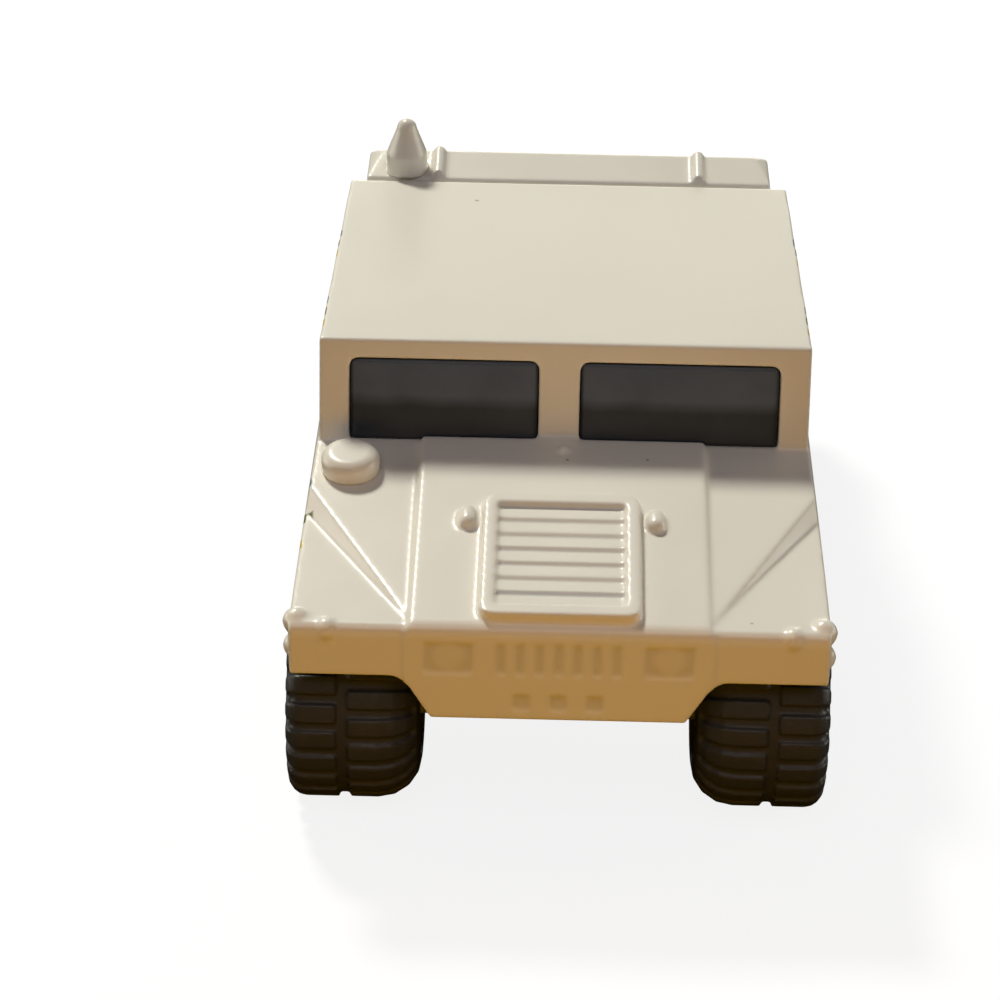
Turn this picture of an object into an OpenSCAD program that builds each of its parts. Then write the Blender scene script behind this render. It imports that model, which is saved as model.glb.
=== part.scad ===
// Toy utility truck, about 1:64: a wide four-door hardtop with a covered cargo bed.
// Millimetres, +Z up, the front faces -Y and the tyres stand on z = 0.
// Left and right are the vehicle's own sides, so left is +X.

// Sub-part to draw, or all of them

/* [Body] */
// Length from the grille face to the rear bumper
body_len = 64; // [62:0.5:68]
// Width across the body sides
body_w = 34.5; // [34:0.1:35]
// Set-back of the cab behind the body sides, at the base of the windshield
belt_in = 0.45; // [0.25:0.05:0.55]
// Set-back of the roof behind the body sides, at its front
roof_in = 0.6; // [0.45:0.05:0.85]
// Narrowing of the cab on each side, from its front to its rear
roof_taper = 0.45; // [0.2:0.05:0.7]
// Height of the roof above the ground
roof_z = 26.7; // [25.5:0.1:28.5]
// Height of the hood at its front edge
nose_z = 17; // [16.5:0.1:17.6]
// Height of the hood at the windshield
cowl_z = 19.55; // [19:0.05:20.2]
// Length of the hood from the face to the windshield
hood_len = 20.2; // [19:0.1:22]
// Set-back of the windshield top behind its base
shield_rake = 1.3; // [0.6:0.1:2]
// Distance of the cab's rear end from the rear bumper
bed_len = 16.1; // [15.6:0.1:17]
// Height of the bed deck
deck_z = 19.4; // [19:0.1:19.8]
// Height of the sill under the doors
sill_z = 7.4; // [7:0.1:8]
// Height of the lower edge of the apron between the front wheels
apron_z = 10.35; // [9.8:0.05:11]
// Width of the apron at its lower edge
apron_w = 16.4; // [15.6:0.2:17]
// Widening of the apron on each side, up to the fenders
apron_flare = 1.8; // [1.5:0.1:2.4]
// Radius of the corners between apron and fenders
apron_r = 1.8; // [1:0.1:2.4]
// Height of the fenders' lower edge at the front
fender_z = 13.35; // [12.8:0.05:14]
// Height of the body's lower edge behind the rear wheels
tail_z = 10; // [9:0.1:11]
// Thickness of the casting's walls
wall = 1.2; // [1:0.1:1.4]
// Thickness of the casting on top of the fenders
fender_t = 2.9; // [2.6:0.1:3.2]
// Radius of the wheel arches
arch_r = 8.5; // [8.2:0.1:8.8]
// Radius of the front edge of the hood
nose_r = 0.9; // [0.6:0.05:1.1]
// Depth of the tailgate behind the rear bumper
gate_depth = 0.6; // [0.3:0.1:0.9]
// Height of the top of the rear bumper
bumper_z = 12.6; // [12:0.1:13.4]

/* [Hood details] */
// Width of the raised centre panel of the hood, at the foot of its slopes
panel_w = 19.7; // [19:0.1:19.8]
// Width of the slope along each side of the panel
panel_slope = 0.3; // [0.2:0.05:0.8]
// Height of the raised centre panel at the front edge
panel_h = 0.2; // [0.1:0.05:0.3]
// Rise of the panel from the front edge to the windshield
panel_rise = 0.35; // [0.2:0.05:0.5]
// Set-back of the fender faces behind the grille face
face_step = 0.15; // [0.1:0.05:0.4]
// Width of the vent frame
vent_w = 10.4; // [9.6:0.1:11]
// Length of the vent frame along the hood
vent_len = 12.6; // [11.6:0.1:13]
// Distance of the vent frame from the front edge
vent_gap = 0.7; // [0.5:0.1:1]
// Height of the vent frame above the panel
vent_h = 0.75; // [0.6:0.05:1.1]
// Width of the rim around the louvres
vent_rim = 1; // [0.8:0.1:1.2]
// Depth of the louvre recess
vent_depth = 0.5; // [0.4:0.05:0.7]
// Rise of each louvre
louvre_h = 0.32; // [0.2:0.02:0.4]
// Number of louvres
louvre_n = 7; // [5:1:9]
// Distance of the lifting eyes from the centre line
eye_x = 6.2; // [6:0.1:6.8]
// Distance of the lifting eyes from the front edge
eye_y = 10.75; // [10:0.05:12]
// Radius of the lifting eyes
eye_r = 0.65; // [0.5:0.05:0.75]
// Height of the lifting eyes above the panel
eye_h = 0.8; // [0.5:0.1:1]
// Distance of the fender step's inner end from the centre line
step_in_x = 10.05; // [9.95:0.05:10.8]
// Distance of the fender step's inner end from the front edge
step_in_y = 1.95; // [1.6:0.05:3]
// Distance of the fender step's outer end from the front edge
step_out_y = 15.7; // [15:0.1:16.4]
// Depth of the fender step at the body side
step_depth = 1.3; // [1:0.1:1.7]
// Slope of the fender step's wall
step_slope = 55; // [35:1:70]
// Radius of the round boss below the centre pillar
boss_r = 0.45; // [0.3:0.05:0.6]

/* [Face details] */
// Number of grille slots
slot_n = 7; // [5:2:7]
// Distance between grille slots
slot_pitch = 1.235; // [1.1:0.005:1.3]
// Width of a grille slot
slot_w = 0.7; // [0.5:0.05:0.8]
// Height of the grille slots
slot_h = 2.6; // [2:0.1:2.8]
// Height above the ground of the middle of grille and headlamps
lamp_z = 14.95; // [14.8:0.05:15.1]
// Distance of the headlamp pockets from the centre line
lamp_x = 7.05; // [6.8:0.05:7.4]
// Width of a headlamp pocket
lamp_w = 3.3; // [3:0.1:3.6]
// Height of a headlamp pocket
lamp_h = 2.5; // [2.2:0.1:2.7]
// Depth of slots and lamp pockets
face_depth = 0.15; // [0.12:0.01:0.4]
// Radius of a headlamp lens
lens_r = 1; // [0.8:0.05:1.05]
// Distance between the square marks of the apron
mark_pitch = 2.35; // [2:0.05:2.6]
// Side of a square mark
mark_w = 1.25; // [1:0.05:1.4]
// Height of the middle of the square marks
mark_z = 11.65; // [11.4:0.05:11.9]
// Distance of the turn lamps from the body sides
turn_in = 2.4; // [2:0.05:3.6]
// Radius of the turn lamps
turn_r = 0.8; // [0.7:0.05:1]
// Radius of the side markers
marker_r = 0.9; // [0.6:0.05:0.95]

/* [Windows] */
// Width of the pillar between the windshield panes
pillar_w = 2.8; // [2.4:0.1:3.6]
// Distance of that pillar's middle from the centre line, to the right
pillar_off = 0.35; // [0:0.05:0.5]
// Width of the cab's front corners beside the windshield panes
corner_w = 2.2; // [2.1:0.1:2.8]
// Height of the header above the windshield panes
header_h = 1.4; // [1.2:0.1:1.8]
// Distance of the windshield panes above the cowl
pane_low = 0.05; // [0:0.01:0.1]
// Height of the lower edge of the side windows
side_win_z = 20.7; // [20.4:0.1:21.2]
// Width of the pillars at the ends of the side windows
end_pillar_w = 2; // [1.6:0.1:2.8]
// Width of the pillar between the side windows
side_pillar_w = 2.8; // [2.4:0.1:3.4]
// Corner radius of the windows
win_r = 0.6; // [0.4:0.05:0.8]
// Thickness of the glazing
glaze_t = 0.8; // [0.6:0.1:1]
// Depth of the panes below the outside of the cab
pane_inset = 0.15; // [0.1:0.05:0.3]

/* [Cargo cover and antenna] */
// Height of the cover's highest line
peak_z = 27.5; // [27.2:0.05:27.8]
// Length of the blunt part behind the highest line
peak_t = 1; // [0.8:0.1:1.4]
// Length over which the cover rises behind the cab
rise_len = 3.4; // [3:0.1:3.8]
// Set-back of the cover behind the body sides
cover_in = 1.95; // [1.7:0.05:2.3]
// Lean of the cover's sides up to the roof's height
cover_lean = 0.25; // [0.1:0.05:0.5]
// Set-back of the highest line's ends behind the cover's sides
peak_in = 1.45; // [1.2:0.05:1.8]
// Height of the cover's rear end above the deck
cover_end_h = 0.4; // [0.3:0.05:0.6]
// Distance of the cover behind the cab
cover_gap = 0.4; // [0.3:0.05:0.6]
// Thickness of the cover
cover_t = 1; // [0.8:0.1:1.2]
// Distance of the ribs from the antenna's axis, toward the centre line
rib_in = 2.4; // [2.4:0.1:3.4]
// Radius of the ribs
rib_r = 0.45; // [0.35:0.05:0.5]
// Distance of the antenna from the side of the cover
antenna_in = 3.2; // [3:0.1:3.6]
// Height of the antenna's tip
antenna_z = 30.9; // [30.4:0.1:32]
// Radius of the antenna at its base
antenna_r = 1.55; // [1.5:0.05:1.7]
// Radius of the antenna's tip
antenna_tip_r = 0.7; // [0.45:0.05:0.8]
// Distance of the intake cap from the body side
cap_in = 2.95; // [2.7:0.05:3.4]
// Distance of the intake cap from the front edge
cap_y = 17.1; // [16.6:0.1:17.4]
// Radius of the intake cap
cap_r = 1.95; // [1.8:0.05:2.1]
// Height of the intake cap
cap_h = 1.5; // [1.3:0.1:1.8]
// Radius of the pegs of cap, cover and antenna
peg_r = 0.75; // [0.6:0.05:0.85]

/* [Wheels and axles] */
// Diameter of the tyres
tyre_d = 14.7; // [14.4:0.1:15]
// Width of the tyres
tyre_w = 8.8; // [8.4:0.1:9]
// Distance of the tyres' outer faces outside the body sides
tyre_proud = 0.5; // [0.2:0.05:0.6]
// Distance of the rear axle in front of the rear bumper
rear_overhang = 10.3; // [10:0.1:11]
// Distance of the front axle behind the grille face
front_overhang = 8.3; // [8:0.1:8.6]
// Radius of the rounded inner shoulder of the tyres
shoulder_in = 2.8; // [2.2:0.1:2.8]
// Radius of the rounded outer shoulder of the tyres
shoulder_out = 1.2; // [1:0.1:1.8]
// Height of the tread blocks
tread_h = 0.3; // [0.25:0.05:0.5]
// Reach of the tread blocks down the sidewalls
lug_reach = 1.7; // [1.3:0.1:2]
// Number of tread blocks around each half of a tyre
tread_n = 24; // [20:1:28]
// Part of the tread pitch filled by a block
tread_share = 0.64; // [0.5:0.02:0.75]
// Distance of the middle groove from the outer face of the tyre
groove_out = 3.75; // [3.2:0.05:4.5]
// Width of the middle groove
groove_w = 0.8; // [0.5:0.05:1]
// Radius of the rims
rim_r = 4.4; // [4:0.1:4.8]
// Diameter of the axles
axle_d = 1.3; // [1.1:0.05:1.5]
// Diameter of the axle heads
head_d = 2.2; // [1.9:0.1:2.6]
// Number of wheel nuts
nut_n = 8; // [5:1:8]

/* [Base] */
// Height of the underside of the base plate
base_z = 6; // [5.6:0.1:6.2]
// Width of the base plate between the wheels
spine_w = 14.4; // [13.6:0.1:14.4]
// Set-back of the base plate behind the body sides
floor_in = 0.6; // [0.5:0.1:1]
// Length of the base plate's upward turn at the tail
tail_ramp = 1.6; // [1.2:0.1:2]
// Length of the muffler
muffler_len = 11; // [8:0.5:14]
// Distance of the muffler from the centre line
muffler_x = 8; // [7.8:0.1:10]
// Distance of the front screw from the windshield
screw_front = 5; // [4.6:0.1:5.4]
// Distance of the rear screw behind the rear axle
screw_back = 4.3; // [4.2:0.05:4.4]
// Height of the top of the axle blocks
block_z = 9.6; // [9:0.1:10]
// Length of an axle block
block_len = 4; // [3.4:0.1:5]
// Width of an axle clip
clip_w = 10; // [8:0.2:12]
// Thickness of an axle clip above its block
clip_t = 0.8; // [0.6:0.1:1]
// Radius of the screw shanks
screw_r = 0.8; // [0.7:0.05:0.9]
// Radius of the screw heads
screw_head_r = 1.5; // [1.3:0.1:1.7]
// Length of the screws above the base plate
screw_len = 5; // [4:0.5:7]
// Outer radius of the screw posts
post_r = 1.8; // [1.6:0.1:1.9]

/* [Interior] */
// Width of a seat
seat_w = 5.2; // [4.6:0.1:5.6]
// Length of a seat's cushion
seat_len = 5; // [4:0.1:5.4]
// Height of a seat's cushion above the floor
seat_h = 4; // [3:0.1:4.6]
// Height of a seat's back above the floor
back_h = 9.4; // [8:0.1:10]
// Thickness of a seat's back
back_t = 1.6; // [1.2:0.1:2]
// Width of the tunnel between the seats
tunnel_w = 5; // [4:0.2:6]
// Height of the tunnel
tunnel_h = 6; // [4:0.5:7]
// Depth of the dashboard
dash_t = 2.4; // [2:0.1:3]

/* [Clearances] */
// Gap between pieces that only lie side by side
gap = 0.1; // [0.05:0.01:0.15]
// Radial play of the wheels on their axle
wheel_play = 0.05; // [0.03:0.01:0.08]
// Radial gap of pressed and plugged pieces
press_gap = 0.02; // [0.01:0.01:0.03]
// Radial gap between a rim and its tyre
seat_gap = 0.08; // [0.05:0.01:0.1]

/* [Hidden] */
$fn = 48;
front_y = -body_len / 2;
rear_y = body_len / 2;
shield_y = front_y + hood_len;
roof_front_y = shield_y + shield_rake;
roof_rear_y = rear_y - bed_len;
roof_len = roof_rear_y - roof_front_y;
belt_w = body_w - 2 * belt_in;
roof_w = body_w - 2 * roof_in;
turn_x = body_w / 2 - turn_in;
cap_x = body_w / 2 - cap_in;
track = body_w + 2 * tyre_proud - tyre_w;
hood_slope = atan2(cowl_z - nose_z, hood_len);
hood_run = hood_len / cos(hood_slope);
panel_tilt = atan2(panel_rise, hood_run);
nose_n = 6;
front_axle_y = front_y + front_overhang;
rear_axle_y = rear_y - rear_overhang;
floor_w = body_w - 2 * floor_in;
axle_z = tyre_d / 2;
arch_in = spine_w / 2 + 1;
floor_y0 = front_axle_y + arch_r + gap;
floor_y1 = rear_axle_y - arch_r - gap;
front_post_y = shield_y - screw_front;
rear_post_y = rear_axle_y + screw_back;
tail_y = rear_y - gate_depth - wall - gap;
side_win_w = (roof_len - side_pillar_w) / 2 - end_pillar_w;
side_win_h = roof_z - header_h - side_win_z;
side_win_mid = (roof_front_y + roof_rear_y) / 2;
cover_w = body_w - 2 * cover_in;
cover_mid_w = cover_w - 2 * cover_lean;
cover_top_w = cover_w - 2 * peak_in;
cover_y = roof_rear_y + cover_gap;
cover_end = rear_y - gate_depth - gap;
cover_peg_y = cover_y + 7;
antenna_x = cover_w / 2 - antenna_in;
rib_x = antenna_x - rib_in;
antenna_y = roof_rear_y + antenna_r + gap;
antenna_low = roof_z + gap;
hub_out = tyre_w / 2 - 1.5;
hub_in = track / 2 - spine_w / 2 - 0.3;
bore_r = axle_d / 2 + wheel_play;
bead_gap = 0.6;
shoulder_n = 4;
tyre_fn = 120;
over = 1;
white = [0.93, 0.91, 0.85];
smoke = [0.16, 0.15, 0.14];
dark = [0.1, 0.1, 0.1];
steel = [0.7, 0.7, 0.72];

// Height of the hood at a given y.
function hood_at(y) = nose_z + (y - front_y) * tan(hood_slope);

// Rounded front edge of the hood in Y-Z, starting at y0 and raised by lift.
function nose_arc(y0, lift) = [
    for (i = [0 : nose_n])
        let (a = 180 - i * (90 - hood_slope) / nose_n)
            [y0 + nose_r, hood_at(y0 + nose_r) - nose_r / cos(hood_slope) + lift] + nose_r * [cos(a), sin(a)]
];

// A Y-Z outline drawn across the vehicle.
module across(half) {
    rotate([90, 0, 90])
        translate([0, 0, -half])
            linear_extrude(2 * half)
                children();
}

// An X-Z outline drawn along the vehicle.
module along(y0, y1) {
    translate([0, y1, 0])
        rotate([90, 0, 0])
            linear_extrude(y1 - y0)
                children();
}

module both_sides() {
    children();
    mirror([1, 0, 0])
        children();
}

// The hood's own frame: y runs up the hood from its front edge, z is normal to it.
module at_hood() {
    translate([0, front_y, nose_z])
        rotate([hood_slope, 0, 0])
            children();
}

// The frame of the hood's raised panel, with z = 0 on top of the panel.
module at_panel() {
    at_hood()
        translate([0, 0, panel_h])
            rotate([panel_tilt, 0, 0])
                children();
}

module round_rect(w, h, r) {
    square([w - 2 * r, h], center = true);
    square([w, h - 2 * r], center = true);
    for (sx = [-1, 1], sy = [-1, 1])
        translate([sx * (w / 2 - r), sy * (h / 2 - r)])
            circle(r);
}

// Outline of body and cab seen from the front, moved inward by t.
module front_outline(t, low) {
    polygon([
        [-body_w / 2 + t, low],
        [-body_w / 2 + t, nose_z],
        [-belt_w / 2 + t, cowl_z],
        [-belt_w / 2 + t, roof_z - t],
        [belt_w / 2 - t, roof_z - t],
        [belt_w / 2 - t, cowl_z],
        [body_w / 2 - t, nose_z],
        [body_w / 2 - t, low]
    ]);
}

module side_outline() {
    polygon([
        [front_y, apron_z],
        each nose_arc(front_y, 0),
        [shield_y, cowl_z],
        [roof_front_y, roof_z],
        [roof_rear_y, roof_z],
        [roof_rear_y, deck_z],
        [rear_y - gate_depth, deck_z],
        [rear_y - gate_depth, bumper_z],
        [rear_y, bumper_z],
        [rear_y, tail_z],
        [rear_axle_y, tail_z],
        [rear_axle_y, sill_z],
        [front_axle_y, sill_z],
        [front_axle_y, apron_z]
    ]);
}

// What the narrowing of the cab takes off its left side, moved inward by t.
module cab_taper(t) {
    front_x = roof_w / 2 - t;
    slope = roof_taper / roof_len;
    y0 = shield_y - over;
    y1 = roof_rear_y + over;
    translate([0, 0, cowl_z])
        linear_extrude(roof_z)
            polygon([
                [front_x - slope * (y0 - roof_front_y), y0],
                [front_x - slope * (y1 - roof_front_y), y1],
                [body_w, y1],
                [body_w, y0]
            ]);
}

// The cab, moved inward by t from its outside.
module cab_form(t, low) {
    difference() {
        intersection() {
            across(body_w)
                polygon([
                    [shield_y + t, low],
                    [shield_y + t, cowl_z],
                    [roof_front_y + t, roof_z - t],
                    [roof_rear_y - t, roof_z - t],
                    [roof_rear_y - t, low]
                ]);
            along(shield_y - over, roof_rear_y + over)
                front_outline(t, low);
        }
        both_sides()
            cab_taper(t);
    }
}

// The windshield openings, with square lower corners, made smaller by g all round.
module shield_openings(g) {
    pane_h = roof_z - header_h - cowl_z - pane_low;
    for (s = [-1, 1]) {
        pane_w = belt_w / 2 - corner_w - pillar_w / 2 + s * pillar_off;
        along(shield_y - over, roof_front_y + 3)
            translate([s * (belt_w / 2 - corner_w - pane_w / 2), cowl_z + pane_low + pane_h / 2]) {
                round_rect(pane_w - 2 * g, pane_h - 2 * g, win_r);
                translate([0, -win_r / 2])
                    square([pane_w - 2 * g, pane_h - win_r - 2 * g], center = true);
            }
    }
}

module side_openings(g) {
    both_sides()
        translate([roof_w / 2 - 3, 0, 0])
            rotate([90, 0, 90])
                linear_extrude(6)
                    for (s = [-1, 1])
                        translate([
                            side_win_mid + s * (side_win_w + side_pillar_w) / 2,
                            side_win_z + side_win_h / 2
                        ])
                            round_rect(side_win_w - 2 * g, side_win_h - 2 * g, win_r);
}

// Wedge that lowers the left fender in front of a slanting line, with a sloped wall behind it.
module fender_step() {
    side = [body_w / 2 - step_in_x, step_out_y - step_in_y];
    at_hood()
        intersection() {
            rotate([-atan2(step_depth, step_out_y), 0, 0])
                translate([0, -over, 0])
                    cube([body_w, body_w, 3]);
            translate([step_in_x, step_in_y, 0])
                rotate([0, 0, atan2(side[1], side[0])])
                    rotate([step_slope, 0, 0])
                        translate([-body_w / 2, -body_w / 2, 0])
                            cube([1.5 * body_w, body_w, body_w]);
        }
}

// What the set-back of the left fender's face takes off its front.
module fender_face() {
    arc = nose_arc(front_y + face_step, 0);
    translate([panel_w / 2 + gap / 2, 0, 0])
        rotate([90, 0, 90])
            linear_extrude(body_w)
                polygon([
                    [front_y - over, 0],
                    [front_y + face_step, 0],
                    each arc,
                    [arc[nose_n][0], roof_z],
                    [front_y - over, roof_z]
                ]);
}

module hood_panel() {
    edge = panel_h + panel_rise;
    low = -edge - wall / 2;
    panel_end = shield_y + pane_inset - gap / 2;
    arc = nose_arc(front_y, panel_h);
    intersection() {
        at_panel()
            translate([0, hood_run + over, 0])
                rotate([90, 0, 0])
                    linear_extrude(hood_run + 2 * over)
                        polygon([
                            [-panel_w / 2, low],
                            [-panel_w / 2, -edge],
                            [-panel_w / 2 + panel_slope, 0],
                            [panel_w / 2 - panel_slope, 0],
                            [panel_w / 2, -edge],
                            [panel_w / 2, low]
                        ]);
        across(panel_w)
            polygon([
                [front_y, 0],
                each arc,
                [arc[nose_n][0], roof_z],
                [panel_end, roof_z],
                [panel_end, 0]
            ]);
    }
}

module hood_vent() {
    pocket_len = vent_len - 2 * vent_rim;
    pocket_w = vent_w - 2 * vent_rim;
    pitch = pocket_len / louvre_n;
    sink = wall / 4;
    at_panel()
        translate([0, vent_gap + vent_len / 2, 0]) {
            difference() {
                translate([0, 0, -sink])
                    linear_extrude(vent_h + sink)
                        round_rect(vent_w, vent_len, vent_rim);
                translate([-pocket_w / 2, -pocket_len / 2, vent_h - vent_depth])
                    cube([pocket_w, pocket_len, vent_h]);
            }
            for (i = [0 : louvre_n - 1])
                translate([-pocket_w / 2, -pocket_len / 2 + i * pitch, vent_h - vent_depth])
                    rotate([90, 0, 90])
                        linear_extrude(pocket_w)
                            polygon([[0, -0.1], [pitch, -0.1], [pitch, 0], [0, louvre_h]]);
        }
}

// Lug of two round posts with domed tops, the smaller one behind.
module lifting_eye() {
    sink = wall / 4;
    rear_r = 0.8 * eye_r;
    at_panel()
        for (post = [[0, eye_r], [1.6 * eye_r, rear_r]])
            translate([eye_x, eye_y + post[0], -sink]) {
                cylinder(r = post[1], h = eye_h + sink - eye_r);
                translate([0, 0, eye_h + sink - eye_r])
                    sphere(post[1]);
            }
}

// Grille slots, headlamp pockets and square marks in the face.
module face_pockets() {
    along(front_y - over, front_y + face_depth) {
        for (i = [0 : slot_n - 1])
            translate([(i - (slot_n - 1) / 2) * slot_pitch, lamp_z])
                round_rect(slot_w, slot_h, slot_w / 2 - 0.05);
        for (s = [-1, 1])
            translate([s * lamp_x, lamp_z])
                round_rect(lamp_w, lamp_h, 0.3);
        for (i = [-1 : 1])
            translate([i * mark_pitch, mark_z])
                round_rect(mark_w, mark_w, 0.3);
    }
}

module headlamp_lenses() {
    both_sides()
        along(front_y + face_depth / 2, front_y + face_depth + 0.2)
            translate([lamp_x, lamp_z])
                circle(lens_r);
}

// Seams around the two doors of each side.
module door_seams() {
    seam = 0.25;
    door_len = (roof_len + shield_rake) / 2;
    door_low = sill_z + 1.2;
    both_sides()
        for (i = [0, 1])
            translate([body_w / 2 - 0.2, shield_y + i * door_len, door_low]) {
                cube([over, seam, nose_z + 1 - door_low]);
                translate([0, door_len - 2 * seam, 0])
                    cube([over, seam, nose_z + 1 - door_low]);
                cube([over, door_len - seam, seam]);
                translate([-0.3, door_len - 3.2, nose_z - door_low - 1.2])
                    cube([over, 2, 0.8]);
            }
}

module tail_pockets() {
    mid_z = (bumper_z + deck_z) / 2;
    along(rear_y - gate_depth - 0.35, rear_y - gate_depth + 0.2) {
        for (s = [-1, 1], t = [-1, 1])
            translate([s * (body_w / 2 - 2.6), mid_z + t * (deck_z - bumper_z) / 5])
                circle(0.9);
        difference() {
            translate([0, mid_z])
                square([body_w - 9, deck_z - bumper_z - 1.4], center = true);
            translate([0, mid_z])
                square([body_w - 9.6, deck_z - bumper_z - 2], center = true);
        }
    }
}

module wheel_arches() {
    both_sides()
        for (y = [front_axle_y, rear_axle_y])
            translate([arch_in, y, axle_z])
                rotate([0, 90, 0])
                    cylinder(r = arch_r, h = body_w);
}

// Open space in front of the tyres, beside the apron.
module apron_cut() {
    lean = atan2(apron_flare, fender_z - apron_z);
    corner = [apron_w / 2 + apron_flare, fender_z] + apron_r * [tan(45 - lean / 2), -1];
    both_sides()
        along(front_y - over, front_axle_y)
            polygon([
                [apron_w / 2, 0],
                [apron_w / 2, apron_z],
                for (a = [180 - lean : (lean - 90) / 8 : 90]) corner + apron_r * [cos(a), sin(a)],
                [body_w, fender_z],
                [body_w, 0]
            ]);
}

module hollows() {
    across(arch_in + gap)
        polygon([
            [front_y + wall, 0],
            [front_y + wall, nose_z - 2 * wall],
            [front_y + 2 * wall, hood_at(front_y + wall) - wall],
            [shield_y + wall, cowl_z - wall],
            [shield_y + wall, 0]
        ]);
    across(belt_w / 2 - wall)
        polygon([
            [front_y + wall, 0],
            [front_y + wall, nose_z - fender_t],
            [shield_y + wall, cowl_z - fender_t],
            [shield_y + wall, 0]
        ]);
    cab_form(wall, 0);
    across(belt_w / 2 - wall)
        polygon([
            [roof_rear_y, 0],
            [roof_rear_y, deck_z - wall],
            [rear_y - gate_depth - wall, deck_z - wall],
            [rear_y - gate_depth - wall, 0]
        ]);
}

module screw_post(y, top) {
    translate([0, y, sill_z])
        difference() {
            cylinder(r = post_r, h = top - sill_z);
            translate([0, 0, -over])
                cylinder(r = screw_r + press_gap, h = screw_len + over + 0.5);
        }
}

module body_shell() {
    color(white) {
        difference() {
            intersection() {
                across(body_w)
                    side_outline();
                along(front_y, rear_y)
                    front_outline(0, 0);
            }
            both_sides() {
                fender_step();
                cab_taper(0);
                fender_face();
            }
            hollows();
            wheel_arches();
            apron_cut();
            shield_openings(0);
            side_openings(0);
            face_pockets();
            door_seams();
            tail_pockets();
            at_hood()
                translate([-cap_x, cap_y, -fender_t])
                    cylinder(r = peg_r + press_gap, h = fender_t + over);
            both_sides()
                translate([rib_x, cover_peg_y, deck_z - 2 * wall])
                    cylinder(r = peg_r + press_gap, h = 3 * wall);
        }
        hood_panel();
        hood_vent();
        both_sides() {
            lifting_eye();
            translate([turn_x, front_y + face_step + 0.75 * turn_r, nose_z - 0.55])
                sphere(turn_r);
            for (z = [fender_z + 1.4, nose_z - 0.45])
                translate([body_w / 2 - marker_r / 2, front_y + 1.5, z])
                    sphere(marker_r);
        }
        headlamp_lenses();
        at_panel()
            translate([0, hood_run - 1.3, 0])
                sphere(boss_r);
        screw_post(front_post_y, hood_at(front_post_y) - wall / 2);
        screw_post(rear_post_y, deck_z - wall / 2);
    }
}

module intake_cap() {
    edge = 0.75;
    color(white)
        at_hood()
            translate([-cap_x, cap_y, 0]) {
                rotate_extrude() {
                    square([cap_r - edge, cap_h]);
                    square([cap_r, cap_h - edge]);
                    translate([cap_r - edge, cap_h - edge])
                        circle(edge);
                }
                translate([0, 0, -fender_t + gap])
                    cylinder(r = peg_r, h = fender_t);
            }
}

// The cover, moved inward by t from its outside.
module cover_form(t) {
    fall_y = cover_y + rise_len + peak_t;
    fall_z = peak_z - peak_t / 2;
    crown = peak_z - roof_z;
    intersection() {
        across(body_w)
            polygon([
                [cover_y + t, deck_z],
                [cover_y + t, roof_z - t],
                [cover_y + rise_len, peak_z - t],
                [fall_y, fall_z - t],
                [cover_end - t, deck_z + cover_end_h - t / 3],
                [cover_end - t, deck_z]
            ]);
        along(cover_y, cover_end)
            polygon([
                [-cover_w / 2 + t, deck_z],
                [-cover_mid_w / 2 + t, roof_z],
                [-cover_top_w / 2 - 0.75 + t, roof_z + 0.45 * crown],
                [-cover_top_w / 2 - 0.35 + t, roof_z + 0.8 * crown],
                [-cover_top_w / 2 + t, peak_z],
                [cover_top_w / 2 - t, peak_z],
                [cover_top_w / 2 + 0.35 - t, roof_z + 0.8 * crown],
                [cover_top_w / 2 + 0.75 - t, roof_z + 0.45 * crown],
                [cover_mid_w / 2 - t, roof_z],
                [cover_w / 2 - t, deck_z]
            ]);
    }
}

// Turned outline of the antenna, grown by g.
module antenna_form(g) {
    waist_z = antenna_low + 1.5;
    waist_r = antenna_r - 0.1;
    translate([-antenna_x, antenna_y, antenna_low - g]) {
        cylinder(r1 = antenna_r + g, r2 = waist_r + g, h = waist_z - antenna_low + g);
        translate([0, 0, waist_z - antenna_low + g])
            cylinder(r1 = waist_r + g, r2 = antenna_tip_r + g, h = antenna_z - antenna_tip_r - waist_z);
        translate([0, 0, antenna_z - antenna_tip_r - antenna_low + g])
            sphere(antenna_tip_r + g);
    }
}

module antenna_peg(g) {
    translate([-antenna_x, antenna_y + peg_r, antenna_low - 3])
        cylinder(r = peg_r + g, h = 3.5);
}

module cargo_cover() {
    block_w = 2 * antenna_r;
    rib_start = 0.2;
    rib_len = norm([rise_len, peak_z - roof_z]) - 2 * rib_start;
    color(white)
        difference() {
            union() {
                difference() {
                    cover_form(0);
                    translate([0, 0, -gap])
                        cover_form(cover_t);
                }
                intersection() {
                    cover_form(0);
                    translate([-antenna_x - block_w / 2, cover_y, antenna_low - 4])
                        cube([block_w, 2 * antenna_r + 1.4, peak_z]);
                }
                both_sides()
                    translate([rib_x, cover_y, roof_z])
                        rotate([-atan2(rise_len, peak_z - roof_z), 0, 0])
                            translate([0, -gap, rib_start]) {
                                cylinder(r = rib_r, h = rib_len);
                                translate([0, 0, rib_len])
                                    sphere(rib_r);
                            }
                both_sides()
                    translate([rib_x, cover_peg_y, deck_z - wall])
                        cylinder(r = peg_r, h = 2 * wall);
                intersection() {
                    cover_form(0);
                    both_sides()
                        translate([rib_x, cover_peg_y, deck_z])
                            cylinder(r = peg_r, h = peak_z - deck_z);
                }
            }
            antenna_form(press_gap);
            antenna_peg(press_gap);
        }
}

module antenna() {
    color(white) {
        antenna_form(0);
        antenna_peg(0);
    }
}

module window_glazing() {
    low = cowl_z - 1;
    color(smoke)
        difference() {
            union() {
                cab_form(wall + gap / 2, low);
                intersection() {
                    cab_form(pane_inset, low);
                    union() {
                        shield_openings(gap / 2);
                        side_openings(gap / 2);
                    }
                }
            }
            cab_form(wall + gap / 2 + glaze_t, low - over);
        }
}

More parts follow.
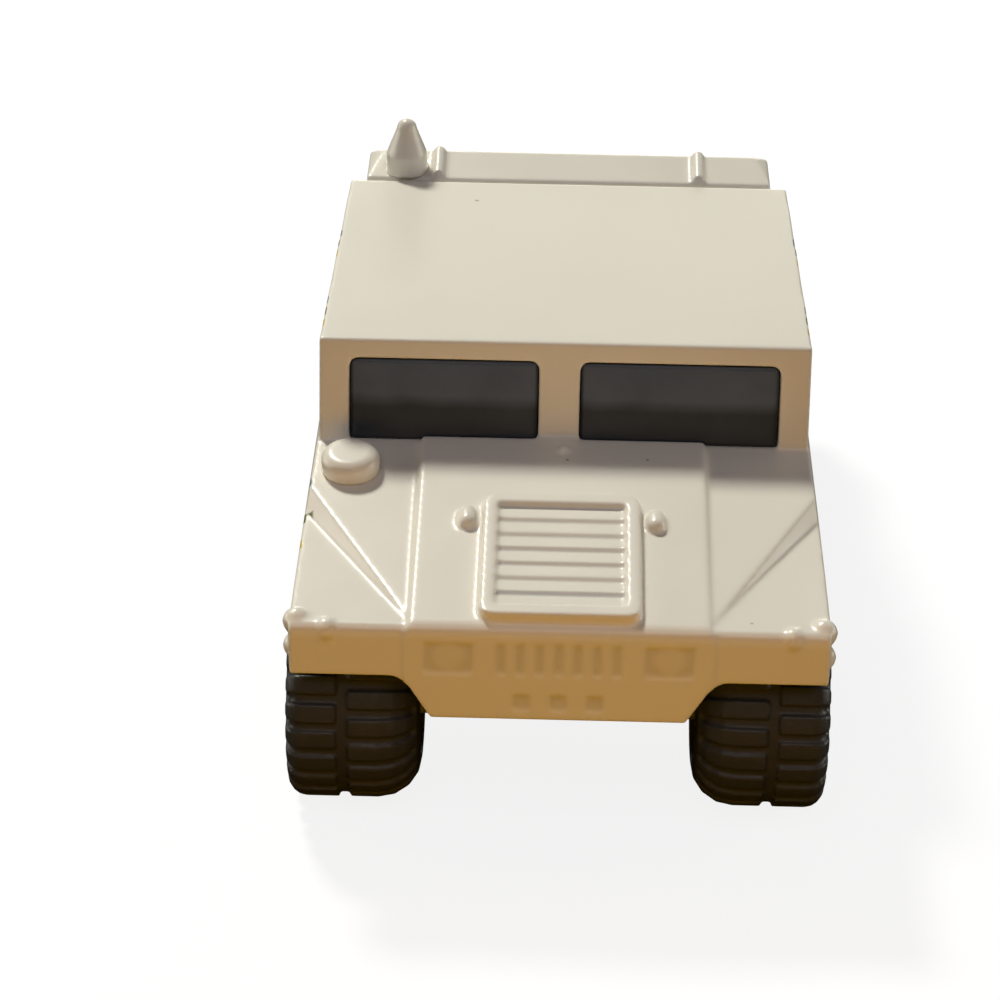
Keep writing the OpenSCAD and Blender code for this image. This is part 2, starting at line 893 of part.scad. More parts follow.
module seat() {
    cube([seat_w, seat_len, seat_h]);
    translate([0, seat_len - 1, 0])
        cube([seat_w, back_t, back_h]);
}

module interior_tub() {
    tub_w = belt_w - 2 * wall - 4 * gap;
    tub_y0 = shield_y + wall + 2 * gap;
    tub_y1 = roof_rear_y - wall - gap;
    floor_t = 1;
    wheel_z = sill_z + 8;
    color(dark)
        difference() {
            union() {
                translate([-tub_w / 2, tub_y0, sill_z])
                    cube([tub_w, tub_y1 - tub_y0, floor_t]);
                translate([-tub_w / 2, tub_y0, sill_z])
                    cube([tub_w, dash_t, cowl_z - sill_z - 1.6]);
                translate([-tunnel_w / 2, tub_y0, sill_z])
                    cube([tunnel_w, tub_y1 - tub_y0, tunnel_h]);
                both_sides()
                    for (y = [tub_y0 + dash_t + 3.6, tub_y1 - seat_len - 2])
                        translate([tunnel_w, y, sill_z + floor_t])
                            seat();
                translate([tunnel_w + seat_w / 2, tub_y0 + dash_t - 0.2, wheel_z])
                    rotate([-65, 0, 0]) {
                        cylinder(r = 0.4, h = 2.4);
                        translate([0, 0, 2.2])
                            rotate_extrude()
                                translate([1.4, 0])
                                    circle(0.35);
                        translate([-1.4, -0.25, 2])
                            cube([2.8, 0.5, 0.4]);
                    }
            }
            wheel_arches();
        }
}

module base_plate() {
    bottom = base_z;
    top = sill_z;
    slot = axle_d + 2 * press_gap;
    color(dark)
        difference() {
            union() {
                across(spine_w / 2)
                    polygon([
                        [front_y + wall + gap, apron_z + 0.1],
                        [front_axle_y - 0.6, bottom],
                        [tail_y - tail_ramp, bottom],
                        [tail_y, tail_z],
                        [tail_y, tail_z + wall],
                        [tail_y - wall, tail_z + wall],
                        [tail_y - tail_ramp - 0.5, top],
                        [front_axle_y - 0.1, top],
                        [front_y + 2 * wall, apron_z + wall],
                        [front_y + wall + gap, apron_z + wall]
                    ]);
                translate([-floor_w / 2, floor_y0, bottom])
                    cube([floor_w, floor_y1 - floor_y0, top - bottom]);
                for (y = [front_axle_y, rear_axle_y])
                    translate([-spine_w / 2, y - block_len / 2, top - press_gap])
                        cube([spine_w, block_len, block_z - top + press_gap]);
                both_sides()
                    translate([3.4, front_axle_y + 3, bottom - 0.5])
                        cube([1.6, rear_axle_y - front_axle_y - 6, 1]);
                translate([muffler_x, floor_y1 - muffler_len - 3, bottom])
                    rotate([-90, 0, 0])
                        cylinder(r = 0.9, h = muffler_len);
                translate([0, rear_axle_y, bottom])
                    sphere(1.5);
            }
            for (y = [front_axle_y, rear_axle_y]) {
                translate([-spine_w / 2 - over, y, axle_z])
                    rotate([0, 90, 0])
                        cylinder(d = slot, h = spine_w + 2 * over);
                translate([-spine_w / 2 - over, y - slot / 2, axle_z])
                    cube([spine_w + 2 * over, slot, block_z]);
            }
            for (y = [front_post_y, rear_post_y])
                translate([0, y, 0]) {
                    cylinder(r = screw_r + gap, h = block_z);
                    translate([0, 0, bottom - over])
                        cylinder(r = screw_head_r + gap, h = over + 0.7);
                }
        }
}

// Steel pin with a head at each end.
module axle(y) {
    pin = track / 2 + hub_out + gap;
    head_t = 0.5;
    color(steel)
        translate([0, y, axle_z])
            rotate([0, 90, 0]) {
                cylinder(d = axle_d, h = 2 * pin, center = true);
                for (s = [-1, 1])
                    translate([0, 0, s * (pin + head_t / 2)])
                        cylinder(d = head_d, h = head_t, center = true);
            }
}

module front_axle() {
    axle(front_axle_y);
}

module rear_axle() {
    axle(rear_axle_y);
}

// Clip whose tongue holds an axle down in its slot.
module axle_clip(y) {
    tongue = axle_d / 2 - press_gap;
    color(dark)
        across(clip_w / 2)
            polygon([
                [y - tongue, axle_z + axle_d / 2 + press_gap],
                [y + tongue, axle_z + axle_d / 2 + press_gap],
                [y + tongue, block_z],
                [y + block_len / 2, block_z],
                [y + block_len / 2, block_z + clip_t],
                [y - block_len / 2, block_z + clip_t],
                [y - block_len / 2, block_z],
                [y - tongue, block_z]
            ]);
}

module front_axle_clip() {
    axle_clip(front_axle_y);
}

module rear_axle_clip() {
    axle_clip(rear_axle_y);
}

module screw(y) {
    head_t = 0.6;
    color(steel)
        translate([0, y, base_z + 0.7])
            difference() {
                union() {
                    translate([0, 0, -head_t])
                        cylinder(r = screw_head_r, h = head_t);
                    cylinder(r = screw_r, h = screw_len + sill_z - base_z - 0.7);
                }
                for (a = [0, 90])
                    rotate([0, 0, a])
                        translate([0, 0, -head_t])
                            cube([1.8, 0.35, 0.6], center = true);
            }
}

module front_screw() {
    screw(front_post_y);
}

module rear_screw() {
    screw(rear_post_y);
}

// Turned section of a tyre, moved inward by d: x is the radius, +y the outer side.
module tyre_section(d) {
    low = rim_r + seat_gap;
    top = tyre_d / 2;
    half = tyre_w / 2;
    inner = [top - shoulder_in, -half + shoulder_in];
    outer = [top - shoulder_out, half - shoulder_out];
    polygon([
        [low, -half + d],
        for (a = [0 : 90 / shoulder_n : 90]) inner + (shoulder_in - d) * [sin(a), -cos(a)],
        for (a = [90 : -90 / shoulder_n : 0]) outer + (shoulder_out - d) * [sin(a), cos(a)],
        [low, half - d]
    ]);
}

// Star of tread blocks between two distances from the tyre's middle.
module tread_ring(u0, u1, turn) {
    high = tyre_d / 2 + over;
    low = tyre_d / 2 - lug_reach;
    step = 360 / tread_n;
    translate([0, 0, u0])
        linear_extrude(u1 - u0)
            rotate(turn)
                polygon([
                    for (i = [0 : tread_n - 1])
                        for (p = [[low, 0], [high, 0], [high, tread_share], [low, tread_share]])
                            p[0] * [cos((i + p[1]) * step), sin((i + p[1]) * step)]
                ]);
}

// Tyre with its outer face toward +X.
module tyre() {
    groove = tyre_w / 2 - groove_out;
    color(dark)
        rotate([0, 90, 0]) {
            rotate_extrude($fn = tyre_fn)
                tyre_section(tread_h);
            intersection() {
                rotate_extrude($fn = tyre_fn)
                    tyre_section(0);
                union() {
                    tread_ring(-tyre_w / 2, groove - groove_w / 2, 0);
                    tread_ring(groove + groove_w / 2, tyre_w / 2, 180 / tread_n);
                }
            }
        }
}

// Rim with its outer face toward +X.
module rim() {
    disc_u = hub_out - 1.5;
    disc_t = 1;
    nut_h = 0.4;
    color(steel)
        rotate([0, 90, 0]) {
            rotate_extrude() {
                translate([rim_r - 0.8, -tyre_w / 2 + bead_gap])
                    square([0.8, tyre_w - 2 * bead_gap]);
                translate([bore_r, disc_u])
                    square([rim_r - bore_r - 0.4, disc_t]);
                translate([bore_r, -hub_in])
                    square([1.7 - bore_r, hub_in + hub_out]);
            }
            for (i = [0 : nut_n - 1])
                rotate([0, 0, i * 360 / nut_n])
                    translate([2.7, 0, disc_u + disc_t - 0.1])
                        cylinder(r = 0.35, h = nut_h + 0.1);
        }
}

// Puts a wheel piece drawn for the left side at its axle.
module wheel_place(y, left) {
    mirror([left ? 0 : 1, 0, 0])
        translate([track / 2, y, axle_z])
            children();
}

module tyre_front_left() {
    wheel_place(front_axle_y, true)
        tyre();
}

module tyre_front_right() {
    wheel_place(front_axle_y, false)
        tyre();
}

module tyre_rear_left() {
    wheel_place(rear_axle_y, true)
        tyre();
}

module tyre_rear_right() {
    wheel_place(rear_axle_y, false)
        tyre();
}

module rim_front_left() {
    wheel_place(front_axle_y, true)
        rim();
}

module rim_front_right() {
    wheel_place(front_axle_y, false)
        rim();
}

module rim_rear_left() {
    wheel_place(rear_axle_y, true)
        rim();
}

module rim_rear_right() {
    wheel_place(rear_axle_y, false)
        rim();
}

body_shell();
intake_cap();
cargo_cover();
antenna();
window_glazing();
interior_tub();
base_plate();
front_axle();
rear_axle();
front_axle_clip();
rear_axle_clip();
front_screw();
rear_screw();
tyre_front_left();
tyre_front_right();
tyre_rear_left();
tyre_rear_right();
rim_front_left();
rim_front_right();
rim_rear_left();
rim_rear_right();
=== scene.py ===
"""Looks of the toy utility truck: soft cast edges, glossy paint, smoked panes, chunky tyres, plain studio."""

import math
from collections import namedtuple

import bmesh
import bpy
from mathutils import Matrix, Vector


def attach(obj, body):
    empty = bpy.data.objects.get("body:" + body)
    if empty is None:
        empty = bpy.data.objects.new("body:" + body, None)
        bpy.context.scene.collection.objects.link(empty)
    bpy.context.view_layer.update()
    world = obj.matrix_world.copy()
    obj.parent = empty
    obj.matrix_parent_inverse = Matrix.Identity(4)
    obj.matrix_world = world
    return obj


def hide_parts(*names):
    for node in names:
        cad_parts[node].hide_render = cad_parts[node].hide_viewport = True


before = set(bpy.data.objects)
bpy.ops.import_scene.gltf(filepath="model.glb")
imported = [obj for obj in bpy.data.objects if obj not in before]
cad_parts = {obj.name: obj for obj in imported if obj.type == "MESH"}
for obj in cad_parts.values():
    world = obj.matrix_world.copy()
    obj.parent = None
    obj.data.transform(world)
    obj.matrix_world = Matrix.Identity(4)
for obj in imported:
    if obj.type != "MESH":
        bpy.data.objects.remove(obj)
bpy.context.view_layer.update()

MM = 0.001
ROOT = "truck"
CORNERS = ("front_left", "front_right", "rear_left", "rear_right")
# Farther out than any point of the part, in millimetres.
BEYOND = 40

# Camera at the photograph's viewing angle: place, lens and sensor in millimetres, turns in degrees.
CAMERA_POS = (-0.767, -209.674, 126.727)
CAMERA_PITCH, CAMERA_YAW, CAMERA_ROLL = 29.41, 1.01, 0.83
CAMERA_LENS, CAMERA_SENSOR = 118.8, 36.0
CAMERA_NEAR = 10

# Colours of the finishes.
PAINT = (0.80, 0.76, 0.67)
SPECK = (0.25, 0.22, 0.17)
MARK = (0.2, 0.18, 0.15)
SMOKE_LOW = (0.038, 0.045, 0.056)
# The second smoke colour is a painted reflection of the sky on the top of each pane; the third is painted
# shade, near black, along the pane borders.
SMOKE_SKY_REFLECTION = (0.094, 0.124, 0.178)
SMOKE_EDGE_SHADE = (0.006, 0.006, 0.006)
TYRE = (0.037, 0.038, 0.039)
PLASTIC = (0.018, 0.018, 0.018)
STEEL = (0.55, 0.55, 0.57)
RIM = (0.20, 0.20, 0.205)
FLOOR = (0.16, 0.16, 0.17)

# Small dark marks in the paint: place and radius in millimetres.
MARKS = (
    ((-6.7, 12.5, 26.7), 0.2),
    ((0.3, -14.2, 19.75), 0.16),
    ((5.7, -14.0, 19.75), 0.16),
    ((12.2, -30.4, 17.1), 0.14),
)
MARK_STRENGTH = 0.6

# Where the floors of the grille and lamp recesses lie, in millimetres, and how much the painted shade there
# darkens the paint.
RECESS_X, RECESS_Y, RECESS_Z = (-9.5, 9.5), (-31.95, -31.4), (8, 16.4)
RECESS_PAINTED_SHADE = 0.85

# Slanted bars on the sides: lowest and highest point, start and pitch along the truck, in millimetres.
StripeGroup = namedtuple("StripeGroup", "side low high start pitch")
STRIPE_GROUPS = (
    StripeGroup("both", 9.2, 16.6, -3.2, 1.7),
    StripeGroup("both", 9.2, 16.6, 10.6, 1.7),
    StripeGroup("both", 25.4, 27, 6.4, 1.7),
    StripeGroup("both", 25.4, 27, 17.4, 1.7),
    StripeGroup("right", 15.0, 19, -13.0, 3.3),
)
STRIPES = ((0.62, 0.47, 0.03), (0.10, 0.14, 0.035), (0.17, 0.24, 0.32))
BAR_WIDTH, BAR_SLANT, BAR_WAVE = 1.15, 0.55, 0.5
CAB_SIDE_X, FENDER_SIDE_X = 15.9, 16.5
SIDE_FACING = 0.35

# Panes of the windshield and of the side windows, in millimetres.
PANE_BULGE = 0.25
PANE_REACH = 0.4
# Height above which the panes take the painted sky reflection, in millimetres.
PANE_TURN_Z = 22.3
SHIELD_PANE = {
    "right": (-14.6, -1.75), "left": (1.05, 14.6), "low": 19.6, "high": 25.3, "base_y": -11.65, "rake": 0.182,
}
SIDE_PANE = {"mids": (-3.6, 9.0), "half": 4.85, "low": 20.7, "high": 25.3, "x": 15.4}

# Beads between the two posts of each lifting eye: centre and radii in millimetres.
HOOD_TILT = math.radians(8.2)
EYE_RADII = (0.66, 1.12, 0.62)
EYE_BEADS = tuple(((x, -20.95, 18.95), EYE_RADII) for x in (6.2, -6.2))

# Lights: name, place and target in millimetres, size in metres, energy in watts, colour, seen in reflections.
LAMP_WHITE = (1.0, 0.985, 0.89)
COOL_WHITE = (0.90, 0.84, 0.93)
WARM_GLOW = (1.0, 0.50, 0.01)
LIGHTS = (
    ("key", (-440, 773, 1115), (0, 3, 15), (0.22, 0.22), 17.6, LAMP_WHITE, True),
    ("front_top", (0, -260, 330), (0, 0, 15), (0.3, 0.2), 0.31, COOL_WHITE, True),
    ("front_glow", (0, -95, 9), (0, -32, 14), (0.12, 0.03), 0.026, WARM_GLOW, False),
    ("left_fill", (200, 30, 40), (0, 10, 12), (0.15, 0.1), 0.15, LAMP_WHITE, True),
    ("right_fill", (-200, 30, 40), (0, 10, 12), (0.15, 0.1), 0.12, LAMP_WHITE, True),
    ("rear_fill", (0, 230, 50), (0, 10, 12), (0.15, 0.1), 0.12, LAMP_WHITE, True),
)
SKY_HORIZON, SKY_ZENITH = (0.004, 0.003, 0.002), (0.014, 0.013, 0.012)
FLOOR_SIZE_M, FLOOR_GLOW = 6, 0.86


def add_camera():
    pitch, yaw, roll = (math.radians(a) for a in (CAMERA_PITCH, CAMERA_YAW, CAMERA_ROLL))
    ahead = Vector((-math.sin(yaw), math.cos(yaw), 0))
    side = Vector((math.cos(yaw), math.sin(yaw), 0))
    up = Vector((0, 0, 1))
    look = ahead * math.cos(pitch) - up * math.sin(pitch)
    top = ahead * math.sin(pitch) + up * math.cos(pitch)
    right = side * math.cos(roll) + top * math.sin(roll)
    top = top * math.cos(roll) - side * math.sin(roll)
    data = bpy.data.cameras.new("camera")
    data.lens = CAMERA_LENS
    data.sensor_width = CAMERA_SENSOR
    data.clip_start = CAMERA_NEAR * MM
    camera = bpy.data.objects.new("camera", data)
    turn = Matrix((right, top, -look)).transposed().to_4x4()
    camera.matrix_world = Matrix.Translation(Vector(CAMERA_POS) * MM) @ turn
    bpy.context.scene.collection.objects.link(camera)
    bpy.context.scene.camera = camera


class Nodes:
    """A new node material with its shader and the coordinates of the part in millimetres."""

    def __init__(self, name, color, roughness):
        self.material = bpy.data.materials.new(name)
        self.material.use_nodes = True
        self.tree = self.material.node_tree
        self.shader = self.tree.nodes["Principled BSDF"]
        self.shader.inputs["Base Color"].default_value = (*color, 1)
        self.shader.inputs["Roughness"].default_value = roughness
        self.coordinates = self.tree.nodes.new("ShaderNodeTexCoord")
        self.place = self.vector("SCALE", self.coordinates.outputs["Object"], scale=1 / MM)

    def link(self, source, target):
        self.tree.links.new(source, target)

    def feed(self, source, name):
        """Links a source to an input of the shader."""
        self.link(source, self.shader.inputs[name])

    def set(self, **values):
        """Sets inputs of the shader that are the same all over the surface."""
        for name, value in values.items():
            self.shader.inputs[name.replace("_", " ")].default_value = value

    def vector(self, operation, source, other=None, scale=None, output=0):
        node = self.tree.nodes.new("ShaderNodeVectorMath")
        node.operation = operation
        self.link(source, node.inputs[0])
        if other is not None:
            node.inputs[1].default_value = other
        if scale is not None:
            node.inputs["Scale"].default_value = scale
        return node.outputs[output]

    def math(self, operation, *values):
        node = self.tree.nodes.new("ShaderNodeMath")
        node.operation = operation
        for value, socket in zip(values, node.inputs):
            if isinstance(value, (int, float)):
                socket.default_value = value
            else:
                self.link(value, socket)
        return node.outputs[0]

    def axes(self, source):
        node = self.tree.nodes.new("ShaderNodeSeparateXYZ")
        self.link(source, node.inputs[0])
        return tuple(node.outputs)

    def noise(self, scale, detail=2.0, rough=0.5):
        """Noise with its scale in waves per millimetre."""
        node = self.tree.nodes.new("ShaderNodeTexNoise")
        node.inputs["Scale"].default_value = scale
        node.inputs["Detail"].default_value = detail
        node.inputs["Roughness"].default_value = rough
        self.link(self.place, node.inputs["Vector"])
        return node.outputs["Fac"]

    def ramp(self, source, low, high, start=0.3, end=0.7):
        """From the colour low to the colour high, as the source goes from start to end."""
        node = self.tree.nodes.new("ShaderNodeValToRGB")
        for element, position, color in zip(node.color_ramp.elements, (start, end), (low, high)):
            element.position = position
            element.color = (*color, 1)
        self.link(source, node.inputs["Fac"])
        return node.outputs["Color"]

    def grey_ramp(self, source, low, high, start=0.3, end=0.7):
        return self.ramp(source, (low,) * 3, (high,) * 3, start, end)

    def band(self, source, low, high, soft):
        """One between low and high, zero outside, with soft ends."""
        rise = self.tree.nodes.new("ShaderNodeMapRange")
        fall = self.tree.nodes.new("ShaderNodeMapRange")
        for node, start, end in ((rise, low, low + soft), (fall, high, high - soft)):
            node.inputs["From Min"].default_value = start
            node.inputs["From Max"].default_value = end
            self.link(source, node.inputs["Value"])
        return self.math("MULTIPLY", rise.outputs[0], fall.outputs[0])

    def mix(self, factor, a, b):
        node = self.tree.nodes.new("ShaderNodeMix")
        node.data_type = "RGBA"
        self.link(factor, node.inputs["Factor"])
        for value, socket in ((a, node.inputs["A"]), (b, node.inputs["B"])):
            if isinstance(value, tuple):
                socket.default_value = (*value, 1)
            else:
                self.link(value, socket)
        return node.outputs["Result"]

    def bump(self, source, strength, distance):
        """Bump of the surface, with its distance in millimetres."""
        node = self.tree.nodes.new("ShaderNodeBump")
        node.inputs["Strength"].default_value = strength
        node.inputs["Distance"].default_value = distance * MM
        self.link(source, node.inputs["Height"])
        self.feed(node.outputs["Normal"], "Normal")


def shade(color, factor):
    return tuple(c * factor for c in color)


def add_recess_shade(n, color):
    """Paints shade on the floors of the grille and lamp recesses: the paint there is darker, standing in for
    the shade that falls in these hollows.
    """
    x, y, z = n.axes(n.place)
    # Painted shade: a mask over the recess floors, where the paint is darkened.
    painted_shade = n.math("MULTIPLY", n.band(y, *RECESS_Y, soft=0.08), n.band(x, *RECESS_X, soft=0.2))
    painted_shade = n.math("MULTIPLY", painted_shade, n.band(z, *RECESS_Z, soft=0.15))
    return n.mix(painted_shade, color, shade(PAINT, RECESS_PAINTED_SHADE))


def add_marks(n, color):
    for place, radius in MARKS:
        distance = n.vector("DISTANCE", n.place, other=place, output="Value")
        spot = n.band(distance, -BEYOND, radius, soft=0.08)
        color = n.mix(n.math("MULTIPLY", spot, MARK_STRENGTH), color, MARK)
    return color


def add_stripes(n, color):
    """Plain slanted bars in groups of three: on the doors, the top of the cab and the right front fender."""
    x, y, z = n.axes(n.place)
    sideways = n.axes(n.coordinates.outputs["Normal"])[0]
    facing = n.band(n.math("ABSOLUTE", sideways), SIDE_FACING, BEYOND, soft=0.15)
    sides = {
        "both": n.math("MULTIPLY", facing, n.band(n.math("ABSOLUTE", x), CAB_SIDE_X, BEYOND, soft=0.1)),
        "right": n.math("MULTIPLY", facing, n.band(x, -BEYOND, -FENDER_SIDE_X, soft=0.15)),
    }
    slant = n.math("ADD", y, n.math("MULTIPLY", z, BAR_SLANT))
    flow = n.math("ADD", slant, n.math("MULTIPLY", n.noise(0.7, 1), BAR_WAVE))
    for group in STRIPE_GROUPS:
        height = n.math("MULTIPLY", sides[group.side], n.band(z, group.low, group.high, soft=0.12))
        for index, stripe in enumerate(STRIPES):
            start = group.start + group.pitch * index
            bar = n.band(flow, start, start + BAR_WIDTH, soft=0.1)
            color = n.mix(n.math("MULTIPLY", bar, height), color, stripe)
    return color


def paint_material(name, color, dressed=False):
    """Glossy paint with a few specks; dressed adds the painted shade in the recesses, the marks and the bars
    of the body.
    """
    n = Nodes(name, color, 0.35)
    tone = n.ramp(n.noise(0.05, 2), shade(color, 0.98), color)
    specks = n.grey_ramp(n.noise(2.4, 1), 0.5, 0, start=0.10, end=0.12)
    tone = n.mix(specks, tone, SPECK)
    if dressed:
        tone = add_stripes(n, add_marks(n, add_recess_shade(n, tone)))
    n.feed(tone, "Base Color")
    n.feed(n.grey_ramp(n.noise(0.25, 3), 0.32, 0.38), "Roughness")
    n.set(Coat_Weight=0.2, Coat_Roughness=0.16)
    n.bump(n.noise(0.5, 2), strength=0.06, distance=0.08)
    return n.material


def plastic_material(name, color, roughness):
    n = Nodes(name, color, roughness)
    n.feed(n.ramp(n.noise(0.5, 4), shade(color, 0.7), shade(color, 1.3)), "Base Color")
    n.feed(n.grey_ramp(n.noise(1.1, 3), roughness * 0.8, roughness * 1.25), "Roughness")
    n.bump(n.noise(3.0, 3), strength=0.25, distance=0.05)
    return n.material


def smoke_material():
    """Smoked plastic; the top half of each pane is paler with a painted sky reflection, and the borders around
    the panes are near black with painted shade.
    """
    n = Nodes("smoked_glazing", SMOKE_LOW, 0.3)
    x, _, z = n.axes(n.place)
    inside = n.band(n.math("ABSOLUTE", x), SIDE_PANE["x"] - 0.3, BEYOND, soft=0.1)
    for side in ("right", "left"):
        inside = n.math("MAXIMUM", inside, n.band(x, *SHIELD_PANE[side], soft=0.3))
    inside = n.math("MULTIPLY", inside, n.band(z, SHIELD_PANE["low"], SHIELD_PANE["high"], soft=0.35))
    # Painted reflection: above a wavy height the panes turn paler, as if they mirrored the sky.
    wavy_z = n.math("ADD", z, n.math("MULTIPLY", n.noise(0.3, 1), 0.6))
    sky_reflection_band = n.band(wavy_z, PANE_TURN_Z, BEYOND, soft=0.9)
    low = n.ramp(n.noise(0.3, 2), shade(SMOKE_LOW, 0.92), shade(SMOKE_LOW, 1.08))
    high = n.ramp(n.noise(0.3, 2), shade(SMOKE_SKY_REFLECTION, 0.92), shade(SMOKE_SKY_REFLECTION, 1.08))
    # Painted shade: outside the panes the smoke is near black; inside, it mixes the plain smoke with the
    # painted reflection.
    n.feed(n.mix(inside, SMOKE_EDGE_SHADE, n.mix(sky_reflection_band, low, high)), "Base Color")
    n.feed(n.grey_ramp(n.noise(0.3, 2), 0.3, 0.36), "Roughness")
    n.set(Specular_IOR_Level=0.25)
    n.bump(n.noise(0.4, 1), strength=0.1, distance=0.1)
    return n.material


def tyre_material():
    n = Nodes("tyre_plastic", TYRE, 0.45)
    dust = n.grey_ramp(n.noise(0.8, 5, 0.65), 0, 0.4, start=0.5, end=0.8)
    n.feed(n.mix(dust, TYRE, shade(TYRE, 1.6)), "Base Color")
    n.feed(n.grey_ramp(n.noise(1.3, 4), 0.36, 0.55), "Roughness")
    n.set(Specular_IOR_Level=0.35)
    n.bump(n.noise(4.0, 3), strength=0.3, distance=0.04)
    return n.material


def metal_material(name, color, roughness):
    n = Nodes(name, color, roughness)
    n.set(Metallic=1.0)
    n.feed(n.ramp(n.noise(2.0, 3), shade(color, 0.8), color), "Base Color")
    n.feed(n.grey_ramp(n.noise(3.0, 4), roughness * 0.8, roughness * 1.3), "Roughness")
    n.bump(n.noise(6.0, 2), strength=0.15, distance=0.03)
    return n.material


def dress(node, material):
    """Gives a CAD node that stays as it is its material."""
    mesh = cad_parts[node].data
    mesh.materials.clear()
    mesh.materials.append(material)


def add_beads(mesh, beads):
    """Runs the two posts of each lifting eye together, as thick paint does."""
    work = bmesh.new()
    work.from_mesh(mesh)
    for centre, radii in beads:
        place = Matrix.Translation(centre) @ Matrix.Rotation(HOOD_TILT, 4, "X") @ Matrix.Diagonal((*radii, 1))
        bmesh.ops.create_uvsphere(work, u_segments=32, v_segments=16, radius=1, matrix=place)
    work.to_mesh(mesh)
    work.free()


def cast(node, body, material, voxel, passes, keep, grow=0.0, beads=()):
    """Stands a copy of a CAD node in its place, with its edges rounded as a mould rounds them.

    The voxel and grow are in millimetres, passes are rounds of smoothing, and keep is the share of faces kept.
    """
    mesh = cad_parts[node].data.copy()
    mesh.transform(Matrix.Scale(1 / MM, 4))
    add_beads(mesh, beads)
    piece = bpy.data.objects.new(node + "_cast", mesh)
    bpy.context.scene.collection.objects.link(piece)
    weld = piece.modifiers.new("weld", "WELD")
    weld.merge_threshold = 0.001
    remesh = piece.modifiers.new("remesh", "REMESH")
    remesh.mode = "VOXEL"
    remesh.voxel_size = voxel
    smooth = piece.modifiers.new("smooth", "SMOOTH")
    smooth.factor = 0.5
    smooth.iterations = passes
    if grow:
        swell = piece.modifiers.new("swell", "DISPLACE")
        swell.strength = grow
        swell.mid_level = 0
    thin = piece.modifiers.new("thin", "DECIMATE")
    thin.decimate_type = "COLLAPSE"
    thin.ratio = keep
    result = bpy.data.meshes.new_from_object(piece.evaluated_get(bpy.context.evaluated_depsgraph_get()))
    result.transform(Matrix.Scale(MM, 4))
    result.shade_smooth()
    result.materials.clear()
    result.materials.append(material)
    piece.modifiers.clear()
    piece.data = result
    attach(piece, body)
    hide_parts(node)
    return piece


def pane_swell(along, up):
    """Share of the bulge at a point of a pane, from -1 to 1 along and up."""
    return max(0.0, 1 - up * up) * max(0.0, 1 - along ** 8)


def bulge_panes(piece):
    """Swells the outer faces of the panes a little."""
    middle = (SHIELD_PANE["low"] + SHIELD_PANE["high"]) / 2
    half_high = (SHIELD_PANE["high"] - SHIELD_PANE["low"]) / 2
    side_middle = (SIDE_PANE["low"] + SIDE_PANE["high"]) / 2
    side_high = (SIDE_PANE["high"] - SIDE_PANE["low"]) / 2
    for vertex in piece.data.vertices:
        x, y, z = vertex.co / MM
        face_y = SHIELD_PANE["base_y"] + SHIELD_PANE["rake"] * (z - SHIELD_PANE["low"])
        if abs(y - face_y) < PANE_REACH:
            start, end = SHIELD_PANE["left" if x > 0 else "right"]
            along = (2 * x - start - end) / (end - start)
            vertex.co.y -= PANE_BULGE * MM * pane_swell(along, (z - middle) / half_high)
        elif abs(x) > SIDE_PANE["x"]:
            for mid in SIDE_PANE["mids"]:
                along = (y - mid) / SIDE_PANE["half"]
                swell = PANE_BULGE * MM * pane_swell(along, (z - side_middle) / side_high)
                vertex.co.x += math.copysign(swell, x)


def add_area(name, place, target, size, energy, color, glossy):
    data = bpy.data.lights.new(name, "AREA")
    data.shape = "RECTANGLE"
    data.size, data.size_y = size
    data.energy = energy
    data.color = color
    light = bpy.data.objects.new(name, data)
    light.location = Vector(place) * MM
    light.rotation_euler = (Vector(target) - Vector(place)).to_track_quat("-Z", "Y").to_euler()
    light.visible_camera = False
    light.visible_glossy = glossy
    bpy.context.scene.collection.objects.link(light)


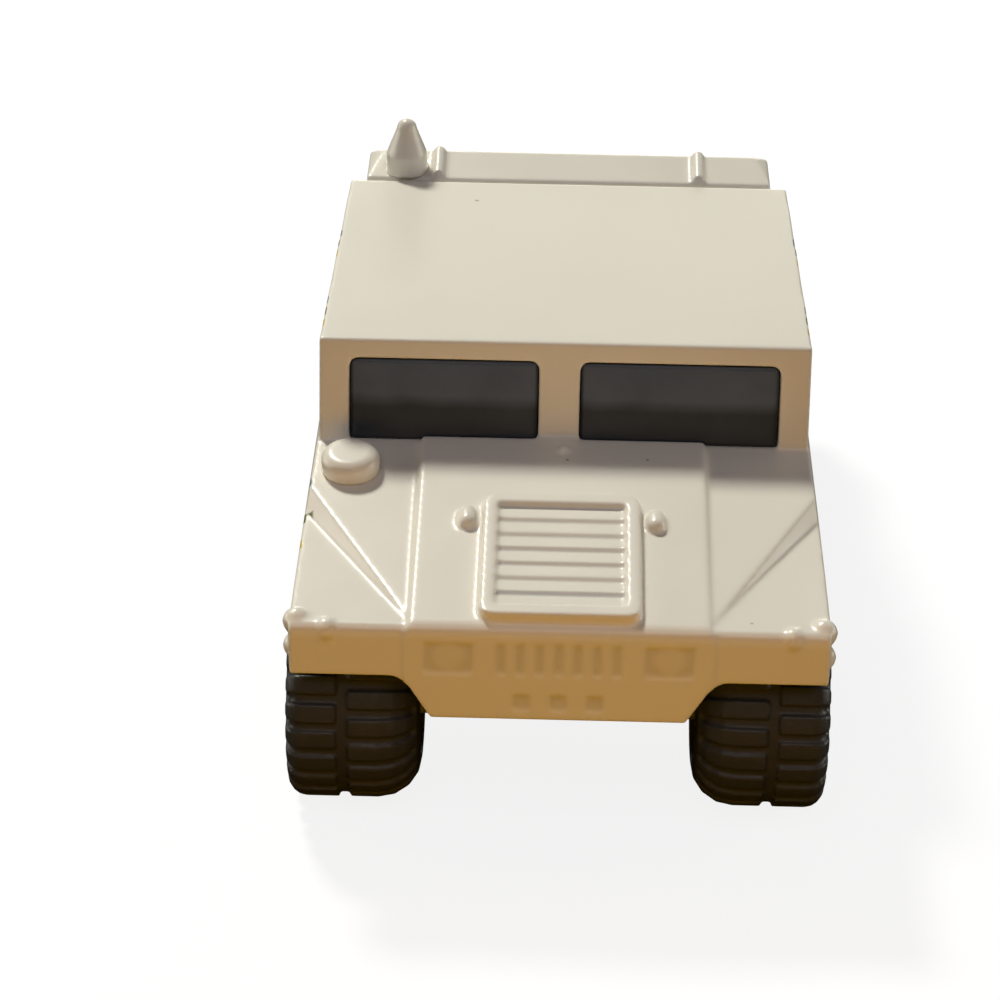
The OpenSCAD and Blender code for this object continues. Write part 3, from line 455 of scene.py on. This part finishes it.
def add_sky():
    """Soft light from above that fades toward the horizon."""
    world = bpy.data.worlds.new("studio")
    world.use_nodes = True
    tree = world.node_tree
    coordinates = tree.nodes.new("ShaderNodeTexCoord")
    axes = tree.nodes.new("ShaderNodeSeparateXYZ")
    ramp = tree.nodes.new("ShaderNodeValToRGB")
    for element, color in zip(ramp.color_ramp.elements, (SKY_HORIZON, SKY_ZENITH)):
        element.color = (*color, 1)
    tree.links.new(coordinates.outputs["Generated"], axes.inputs[0])
    tree.links.new(axes.outputs[2], ramp.inputs["Fac"])
    tree.links.new(ramp.outputs["Color"], tree.nodes["Background"].inputs["Color"])
    bpy.context.scene.world = world


def add_floor():
    bpy.ops.mesh.primitive_plane_add(size=FLOOR_SIZE_M)
    floor = bpy.context.object
    floor.name = "floor"
    n = Nodes("pale_floor", FLOOR, 0.8)
    n.feed(n.ramp(n.noise(0.02, 3), shade(FLOOR, 0.98), shade(FLOOR, 1.02)), "Base Color")
    n.set(Emission_Color=(1, 1, 1, 1), Emission_Strength=FLOOR_GLOW, Specular_IOR_Level=0.0)
    floor.data.materials.append(n.material)
    floor.visible_diffuse = False
    floor.visible_glossy = False


paint = paint_material("white_paint", PAINT, dressed=True)
moulding = paint_material("white_moulding", PAINT)
smoke = smoke_material()
tyre = tyre_material()
black = plastic_material("black_plastic", PLASTIC, 0.45)
rim = plastic_material("grey_rim", RIM, 0.35)
steel = metal_material("steel", STEEL, 0.3)

add_camera()
cast("body_shell", ROOT, paint, voxel=0.13, passes=12, keep=0.12, beads=EYE_BEADS)
cast("cargo_cover", ROOT, moulding, voxel=0.13, passes=12, keep=0.15)
cast("antenna", ROOT, moulding, voxel=0.1, passes=6, keep=0.4, grow=0.05)
cast("intake_cap", ROOT, moulding, voxel=0.1, passes=6, keep=0.4, grow=0.03)
bulge_panes(cast("window_glazing", ROOT, smoke, voxel=0.15, passes=5, keep=0.5))
cast("base_plate", ROOT, black, voxel=0.16, passes=4, keep=0.15)
for node in ("interior_tub", "front_axle_clip", "rear_axle_clip"):
    dress(node, black)
for node in ("front_axle", "rear_axle", "front_screw", "rear_screw"):
    dress(node, steel)
for corner in CORNERS:
    cast("tyre_" + corner, "wheel_" + corner, tyre, voxel=0.12, passes=4, keep=0.3)
    cast("rim_" + corner, "wheel_" + corner, rim, voxel=0.12, passes=3, keep=0.3)

bpy.context.scene.view_settings.view_transform = "Standard"
add_sky()
add_floor()
for light in LIGHTS:
    add_area(*light)
